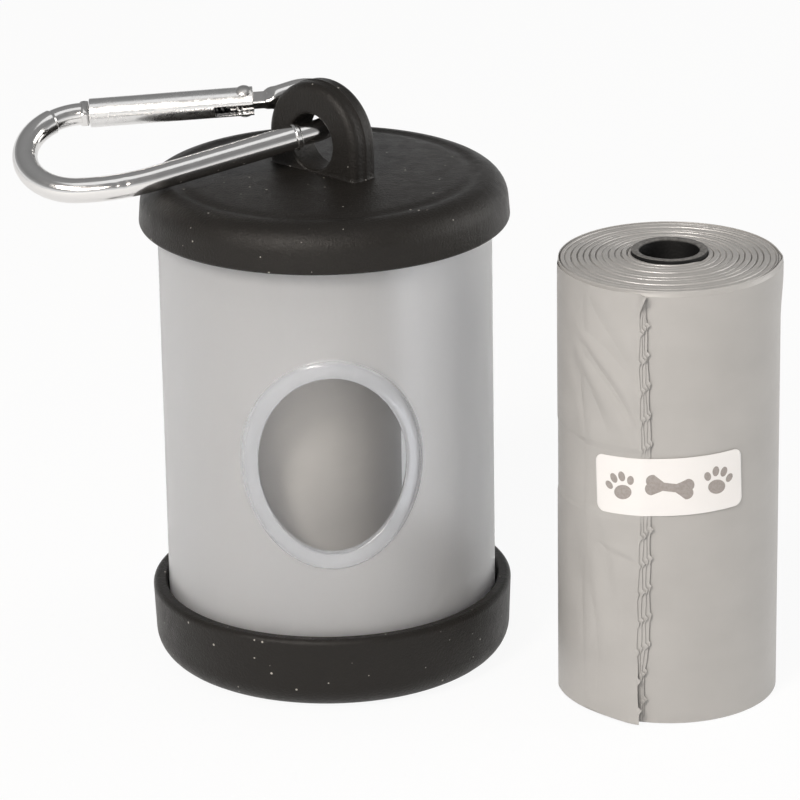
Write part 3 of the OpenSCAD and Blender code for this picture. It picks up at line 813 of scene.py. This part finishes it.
def spare_roll_core():
    """A black tube with roughly cut ends."""
    z0, z1 = spare_core_low[2], ROLL_H + CORE_OUT
    draw = waves(61, 20, 24, 0.0)
    coarse = waves(62, 8, 5, 0.0)
    angle = round_angles(192)
    ragged = 0.07 * ripple(angle, 0.0, draw) + 0.06 * ripple(angle, 0.0, coarse)
    out_r, in_r = CORE_R, CORE_BORE_R + 0.1
    rows = [(out_r, z0 + 0.1), (out_r, z1 - 0.35), (out_r + ragged * 0.5, z1 - 0.1 + ragged),
            (out_r - 0.12 + ragged * 0.4, z1 + ragged), (out_r - 0.5, z1 - 0.02 + ragged * 0.8),
            (in_r + 0.25 - ragged * 0.5, z1 - 0.04 + ragged * 0.6), (in_r + 0.05, z1 - 0.16 + ragged * 0.5),
            (in_r, z1 - 0.4), (in_r, z0 + 0.1), (in_r + 0.2, z0), (out_r - 0.1, z0)]
    points, faces = turned(rows, angle, SPARE_AT)
    new_piece("spare_roll_core", points, faces, core_black, "spare_roll", ["spare_core"], sharp=50)


def wound_roll(name, centre, z0, body, node, seed, turns, rings, dome=0.0):
    """A closed sleeve of film: plain sides, and ends that show the wound layers as a spiral."""
    r_in, r_out = CORE_R + 0.05, FILM_R
    # Turns of film that stick together show as one ring of this width
    bundle = 0.88
    draw = random.Random(seed)
    layers = int((r_out - r_in) / bundle) + 4
    depth = np.array([draw.uniform(0.25, 0.75) for _ in range(layers)])
    drift = np.array([draw.uniform(0, 2 * pi) for _ in range(layers)])
    wide = waves(seed + 1, 10, 5, 0.05)
    angle = round_angles(turns)

    def end_height(r):
        """How far the film's edge is drawn in at each angle, for one distance from the axis."""
        wander = 0.18 * ripple(angle, r * 2.2, wide)
        q = (r - r_in) / bundle + angle / (2 * pi) + wander
        layer = np.clip(np.floor(q).astype(int), 0, layers - 1)
        part = q - np.floor(q)
        fade = 0.5 + 0.5 * np.cos(angle * 2 + drift[layer])
        line = np.exp(-(np.minimum(part, 1 - part) / 0.085) ** 2)
        sub = 0.5 + 0.5 * np.cos(2 * pi * part * 4)
        deep = depth[layer] * (0.5 + 0.5 * fade)
        lift = 0.05 * np.sin(layer * 2.4 + angle) + 0.05 * part
        return deep * line + 0.03 * (1 - sub) + lift + 0.08

    shade = waves(seed + 2, 16, 6, 0.09)
    heights = [z0 + 0.12 + (ROLL_H - 0.3) * k / 24 for k in range(25)]
    rows = [(r_out - 0.05 + 0.04 * ripple(angle, z, shade), z) for z in heights]
    for k in range(rings + 1):
        r = r_out - 0.09 + (r_in + 0.02 - r_out + 0.09) * k / rings
        rise = dome * ((r_out - r) / (r_out - r_in)) ** 1.3
        rows.append((r, z0 + ROLL_H + rise - end_height(r)))
    low_rings = rings // 3
    for k in range(low_rings + 1):
        r = r_in + 0.02 + (r_out - 0.09 - r_in - 0.02) * k / low_rings
        rows.append((r, z0 + 0.4 * end_height(r)))
    points, faces = turned(rows, angle, centre)
    new_piece(name, points, faces, edges, body, [node], sharp=0)


def outer_skin(name, centre, z0, body, node, seed, turns=288, tall=96):
    """The last turns of film: a sleeve with stepped upper edges and a lived-in surface."""
    angle = round_angles(turns)
    soft = waves(seed, 12, 4, 0.07)
    small = waves(seed + 1, 22, 16, 0.35)
    jitter = waves(seed + 2, 8, 6, 0.0)
    top = z0 + ROLL_H
    # Counted from the front, like the torn edge's angles
    front = (angle + pi / 2 + pi) % (2 * pi) - pi

    def surface(z):
        share = (z - z0) / ROLL_H
        loose = 0.32 * np.exp(-((front - radians(LOOSE_AT)) / radians(7)) ** 2) * ease(share, 0.86, 0.97)
        return ROLL_R - 0.1 + 0.05 * ripple(angle, z, soft) + 0.02 * ripple(angle, z, small) + loose

    heights = [z0 + 0.1 + (ROLL_H - 0.95) * k / tall for k in range(tall + 1)]
    rows = [(surface(z), z) for z in heights]
    # (inset, drop) over the steps of the plies, the rounded edge and the gap behind the last ply
    steps = [(0.0, -0.8), (0.035, -0.77), (0.035, -0.47), (0.07, -0.44), (0.075, -0.12), (0.09, -0.04),
             (0.13, 0.0), (0.18, -0.02), (0.2, -0.1), (0.21, -0.9), (0.33, -0.9), (0.34, -0.15)]
    for inset, drop in steps:
        wave = 0.05 * ripple(angle, 0.0, jitter) * (1 if -0.7 < drop < -0.1 else 0.3)
        rows.append((surface(top) - inset, top + drop + wave - 0.02))
    inner = FILM_R + 0.02
    rows += [(inner, top - 0.1), (inner, z0 + 0.06), (surface(z0) - 0.12, z0 + 0.02)]
    points, faces = turned(rows, angle, centre)
    new_piece(name, points, faces, film, body, [node], sharp=55)


def on_roll(angle, r, z):
    """A point on the spare roll: the angle counts from the front, positive to the right."""
    return (SPARE_AT[0] + r * sin(angle), SPARE_AT[1] - r * cos(angle), z)


# The torn edge's nibs: their spacing, one's height on the innermost ply, and its drop to the outermost
NIB_PITCH, NIB_TOP, NIB_DROP = 4.33, 60.24, 1.3
# The torn edge's heights and its angles there, for the outermost and the innermost ply
OUTER_EDGE = ((0, 6, 11, 20, 29, 42, 56, 62, 63.8, 65),
              (-18.6, -19.6, -20.4, -20.2, -19.1, -18.6, -19.9, -19.2, -17, -15.4))
INNER_EDGE = ((0, 8, 13, 43, 60, 65), (-17.4, -16.8, -14.4, -14.1, -16.4, -16.9))
# The label presses the plies flat: this starts over the first two heights and ends over the last two
PRESSED = (30.5, 32.0, 40.6, 42.0)
# Where the skin stands off at its upper edge, in degrees to the right of the front
LOOSE_AT = 84
PLIES = 4
# Folds in the flap: (angle, height, direction in degrees, width, length, depth)
CREASES = ((-35, 51.5, -47, 1.3, 9, 0.34), (-22, 45.5, -62, 0.9, 5, 0.22), (-33, 45, -58, 2.2, 11, 0.3),
           (-46, 47, -64, 2.4, 13, 0.26), (-30, 57, -52, 2.0, 8, 0.2), (-58, 42, -74, 3.0, 14, 0.22),
           (-27, 25.5, -18, 0.8, 3.5, 0.16), (-34, 22, -80, 1.4, 8, 0.16), (-45, 16, -75, 2.5, 12, 0.18))


def fold(angle, z):
    """Height of the flap's folds at an angle in degrees and a height."""
    total = 0.0
    for at, mid, turn, width, length, depth in CREASES:
        s, t = radians(angle - at) * ROLL_R, z - mid
        c, d = cos(radians(turn)), sin(radians(turn))
        along, off = s * c + t * d, t * c - s * d
        off += 0.012 * along * along
        total += depth * exp(-(along / length) ** 2) * off / width * exp(0.5 - (off / width) ** 2)
    return total


def torn_ply(name, index, left_deg, columns):
    """One ply with small nibs at its torn edge.

    index 0 is the outermost ply, the flap, which stands off at its lower corner and curls at its upper one.
    """
    low, high = 0.3 + 0.2 * index, 64.7 - 0.15 * index
    rows = 600
    share_in = index / (PLIES - 1)
    points = []
    for i in range(rows + 1):
        z = low + (high - low) * i / rows
        outer, inner = float(np.interp(z, *OUTER_EDGE)), float(np.interp(z, *INNER_EDGE))
        if index:
            outer = min(outer, -18.8)
        edge = outer + (inner - outer) * share_in + 0.22 * sin(z * 0.9 + index * 1.7)
        pressed = ease(z, *PRESSED[:2]) * (1 - ease(z, *PRESSED[2:]))
        # Distance from the nearest nib: the nib is steep above its tip and long below it
        off = (((z - NIB_TOP + NIB_DROP * (1 - share_in)) / NIB_PITCH + 0.5) % 1 - 0.5) * NIB_PITCH
        nib = max(0.0, 1 - off / 0.28) if off > 0 else max(0.0, 1 + off / 0.95)
        nib *= (1 - pressed) * (0.75 + 0.25 * sin(z * 3.1 + index))
        if index == 0:
            nib *= 1 - ease(z, 60, 61)
        stand = (0.11 + 0.1 * (PLIES - 1 - index)) * (1 - 0.55 * pressed)
        for j in range(columns + 1):
            share = (j / columns) ** 1.8
            angle = edge + (left_deg - edge) * share
            back = edge - angle
            settled = 0.28 * ease(back, 12, 45) if index == 0 else 0.0
            tip = exp(-back * 1.5)
            r = ROLL_R + stand + 0.07 * exp(-back * 0.7) * (1 - pressed) + 0.3 * nib * tip
            if index == 0:
                r += 1.0 * ease(z, 60.8, 64.6) * exp(-(back / 3.2) ** 2)
                r += 1.1 * (1 - ease(z, 0, 12)) * exp(-(back / 12) ** 2)
                r += fold(angle, z) * (1 - pressed) * ease(back, 0, 5) * (1 - ease(back, 30, 55))
                r += 0.1 * ease(z, 58, 64.6) * exp(-((angle + 35) / 12) ** 2)
            r = max(r - settled, ROLL_R + 0.02)
            r -= (stand + 0.3) * ease(share, 0.8, 1.0)
            points.append(on_roll(radians(angle + 1.9 * nib * tip), r, z))
    faces = grid_faces(rows + 1, columns + 1)
    piece = new_piece(name, points, faces, film, "spare_roll", ["spare_outer_bag"], sharp=0)
    thicken(piece, "film_thickness", 0.035)


# ---- label

LABEL_W, LABEL_H, LABEL_CORNER = 22.1, 8.55, 1.2
LABEL_TURN = radians(-4.7)
LABEL_TILT = radians(2.1)
LABEL_Z = (label_low[2] + label_high[2]) / 2


def on_label(s, z, lift):
    """A point of the label's own plane, laid on the roll, over the torn plies."""
    c, d = cos(LABEL_TILT), sin(LABEL_TILT)
    along, up = s * c - z * d, s * d + z * c
    angle = LABEL_TURN + along / (ROLL_R + 0.3)
    step = 0.13 + 0.2 * (1 - ease(degrees(angle), -19.5, -10.5))
    return on_roll(angle, ROLL_R + step + lift, LABEL_Z + up)


def label():
    tall, wide = 40, 120
    points = []
    for i in range(tall + 1):
        z = -LABEL_H / 2 * cos(pi * i / tall)
        over = max(abs(z) - (LABEL_H / 2 - LABEL_CORNER), 0)
        half = LABEL_W / 2 - LABEL_CORNER + sqrt(max(LABEL_CORNER ** 2 - over ** 2, 0))
        points += [on_label(half * (2 * j / wide - 1), z, 0.0) for j in range(wide + 1)]
    faces = grid_faces(tall + 1, wide + 1)
    piece = new_piece("label_sheet", points, faces, paper, "spare_roll", ["spare_label"], sharp=0)
    thicken(piece, "paper_thickness", 0.09)


def blob(points, faces, centre, turn, radius_at, rings=6, steps=48):
    """A printed spot as a fan of rings; radius_at gives its outline round its own centre."""
    start = len(points)
    for k in range(rings + 1):
        for i in range(steps):
            a = 2 * pi * i / steps
            r = radius_at(a) * max(k / rings, 0.02)
            x, y = r * cos(a), r * sin(a)
            s = centre[0] + x * cos(turn) - y * sin(turn)
            z = centre[1] + x * sin(turn) + y * cos(turn)
            points.append(on_label(s, z, 0.012))
    faces += grid_faces(rings + 1, steps, close_columns=True, start=start)
    faces.append(tuple(range(start, start + steps))[::-1])


def oval_radius(a, b):
    return lambda t: a * b / hypot(b * cos(t), a * sin(t))


def bone_radius(length, waist, knob):
    """Outline of a bone round its centre: a shaft and two knobs at each end."""
    def at(t):
        c, s = abs(cos(t)), abs(sin(t))
        best = min(waist / max(s, 1e-6), length)
        for y in (0.62 * knob, -0.62 * knob):
            along = length * c + y * s
            off = abs(length * s - y * c)
            if off < knob:
                best = max(best, along + sqrt(knob * knob - off * off))
        return best
    return at


# A paw's pad and its four toes: (x, y, half width, half height, turn in degrees)
PAW = ((0, -0.85, 1.35, 1.05, 0), (-1.75, 0.55, 0.5, 0.68, 28), (-0.65, 1.4, 0.52, 0.74, 8),
       (0.65, 1.4, 0.52, 0.74, -8), (1.75, 0.55, 0.5, 0.68, -28))


def printed_marks():
    """Two paws with a bone between them."""
    points, faces = [], []
    for s, z, tilt in ((-7.0, -0.1, 18), (7.1, 0.15, -14)):
        turn = radians(tilt)
        for x, y, a, b, extra in PAW:
            px = s + (x * cos(turn) - y * sin(turn))
            pz = z + (x * sin(turn) + y * cos(turn))
            blob(points, faces, (px, pz), turn + radians(extra), oval_radius(a, b))
    blob(points, faces, (0.05, 0), radians(-9), bone_radius(2.5, 0.62, 0.95), 8, 144)
    new_piece("label_print", points, faces, ink, "spare_roll", ["spare_label"], sharp=0)


# ---- build

bottom_cap()
top_cap_shell()
lug()
tube()
hook_rod()
nose()
gate_tube()
dressed("gate_pin", "gate_rivet", steel, 0.05)
dressed("gate_button", "gate_plunger", steel, 0.04)
dressed("gate_coil", "gate_spring", steel)
dressed("roll_core", "loaded_core", core_black, 0.1)
spare_roll_core()
wound_roll("roll_film", ROLL_AT, bag_low[2], "loaded_roll", "loaded_film", 21, 160, 72)
wound_roll("spare_roll_film", SPARE_AT, 0.0, "spare_roll", "spare_film", 8, 320, 240, CORE_OUT - 0.5)
outer_skin("roll_skin", ROLL_AT, bag_low[2], "loaded_roll", "loaded_outer_bag", 31, 192, 64)
outer_skin("spare_roll_skin", SPARE_AT, 0.0, "spare_roll", "spare_outer_bag", 41)
torn_ply("spare_flap", 0, -100, 72)
torn_ply("spare_ply_2", 1, -60, 16)
torn_ply("spare_ply_3", 2, -52, 16)
torn_ply("spare_ply_4", 3, -44, 16)
label()
printed_marks()


# ---- floor, light and camera

FLOOR_HALF, FLOOR_DROP = 4.0, 0.00005
# The floor's white for the camera, and the part of it in a reflection: low enough to show shadows there
FLOOR_SHARE, GLOSSY_SHARE = 0.92, 0.5
# The point that the lamps look at, in metres
LIT_POINT = Vector((0.012, -0.005, 0.04))
# The camera fitted to the photograph: its place in millimetres, and the picture's right and up
CAMERA_AT = Vector((-10.226, -635.924, 272.244))
CAMERA_RIGHT = Vector((0.99916, -0.03805, -0.01512))
CAMERA_UP = Vector((0.02733, 0.34488, 0.93825))
LENS_MM, SENSOR_MM, FAR_M = 208.8, 36, 20


def seen_share(tree):
    """FLOOR_SHARE for rays that show the floor straight or through glass, less in a reflection, else 0."""
    path = add_node(tree, "ShaderNodeLightPath")
    total = path.outputs["Is Camera Ray"]
    for name, weight in (("Is Glossy Ray", GLOSSY_SHARE), ("Is Transmission Ray", 1.0)):
        part = add_node(tree, "ShaderNodeMath", {0: path.outputs[name], 1: weight}, operation="MULTIPLY")
        both = add_node(tree, "ShaderNodeMath", {0: total, 1: part.outputs[0]}, operation="MAXIMUM")
        total = both.outputs[0]
    return add_node(tree, "ShaderNodeMath", {0: total, 1: FLOOR_SHARE}, operation="MULTIPLY").outputs[0]


def floor():
    """A pale tabletop that looks white and still takes the object's shadow."""
    corners = [(x * FLOOR_HALF, y * FLOOR_HALF, 0) for x, y in ((-1, -1), (1, -1), (1, 1), (-1, 1))]
    mesh = bpy.data.meshes.new("floor")
    mesh.from_pydata(corners, [], [(0, 1, 2, 3)])
    material = bpy.data.materials.new("pale_floor")
    material.use_nodes = True
    tree = material.node_tree
    tree.nodes.clear()
    diffuse = add_node(tree, "ShaderNodeBsdfDiffuse", {"Color": (0.93, 0.93, 0.93, 1)})
    white = add_node(tree, "ShaderNodeEmission", {"Strength": 1.0})
    mixed = add_node(tree, "ShaderNodeMixShader",
                     {0: seen_share(tree), 1: diffuse.outputs[0], 2: white.outputs[0]})
    add_node(tree, "ShaderNodeOutputMaterial", {0: mixed.outputs[0]})
    mesh.materials.append(material)
    piece = bpy.data.objects.new("floor", mesh)
    piece.location = (0, 0, -FLOOR_DROP)
    scene.collection.objects.link(piece)


def world():
    """A pale horizon that gets darker towards the zenith."""
    made = bpy.data.worlds.new("studio")
    made.use_nodes = True
    tree = made.node_tree
    tree.nodes.clear()
    place = add_node(tree, "ShaderNodeTexCoord")
    split = add_node(tree, "ShaderNodeSeparateXYZ", {0: place.outputs["Generated"]})
    ramp = add_node(tree, "ShaderNodeValToRGB", {0: split.outputs["Z"]})
    back = add_node(tree, "ShaderNodeBackground", {0: ramp.outputs[0]})
    add_node(tree, "ShaderNodeOutputWorld", {0: back.outputs[0]})
    # (height above the horizon, brightness)
    stops = ((0.0, 0.88), (0.1, 0.76), (0.22, 0.32), (0.5, 0.21), (1.0, 0.26))
    while len(ramp.color_ramp.elements) < len(stops):
        ramp.color_ramp.elements.new(0.5)
    for element, (at, value) in zip(ramp.color_ramp.elements, stops):
        element.position = at
        element.color = (value, value, value, 1)
    scene.world = made


def softbox(name, azimuth, elevation, distance, size, power, colour=(1, 1, 1)):
    """An area lamp that looks at the part. Azimuth 0 is in front (-Y), positive to the right."""
    a, e = radians(azimuth), radians(elevation)
    offset = Vector((sin(a) * cos(e), -cos(a) * cos(e), sin(e)))
    data = bpy.data.lights.new(name, "AREA")
    data.shape = "RECTANGLE"
    data.size, data.size_y = size
    data.energy = power
    data.color = colour
    lamp = bpy.data.objects.new(name, data)
    lamp.location = LIT_POINT + offset * distance
    lamp.rotation_euler = offset.to_track_quat("Z", "Y").to_euler()
    scene.collection.objects.link(lamp)


def camera():
    """The lens stands in front of the part, 27 cm above the tabletop, and looks down by 20 degrees."""
    data = bpy.data.cameras.new("camera")
    data.lens = LENS_MM
    data.sensor_width = SENSOR_MM
    data.clip_end = FAR_M
    piece = bpy.data.objects.new("camera", data)
    turn = Matrix((CAMERA_RIGHT, CAMERA_UP, CAMERA_RIGHT.cross(CAMERA_UP))).transposed()
    piece.matrix_world = Matrix.Translation(CAMERA_AT * MM) @ turn.to_4x4()
    scene.collection.objects.link(piece)
    scene.camera = piece


floor()
world()
softbox("key_left", -32, 38, 1.1, (0.26, 0.36), 7.6, (1.0, 0.94, 0.875))
softbox("front_left", -12, 26, 1.2, (0.26, 0.26), 2.3, (1.0, 0.93, 0.86))
softbox("fill_right", 100, 16, 1.1, (0.7, 0.8), 5.0, (1.0, 0.97, 0.93))
softbox("top_back", 10, 78, 1.2, (0.8, 0.6), 1.0)
camera()
scene.view_settings.view_transform = "Standard"
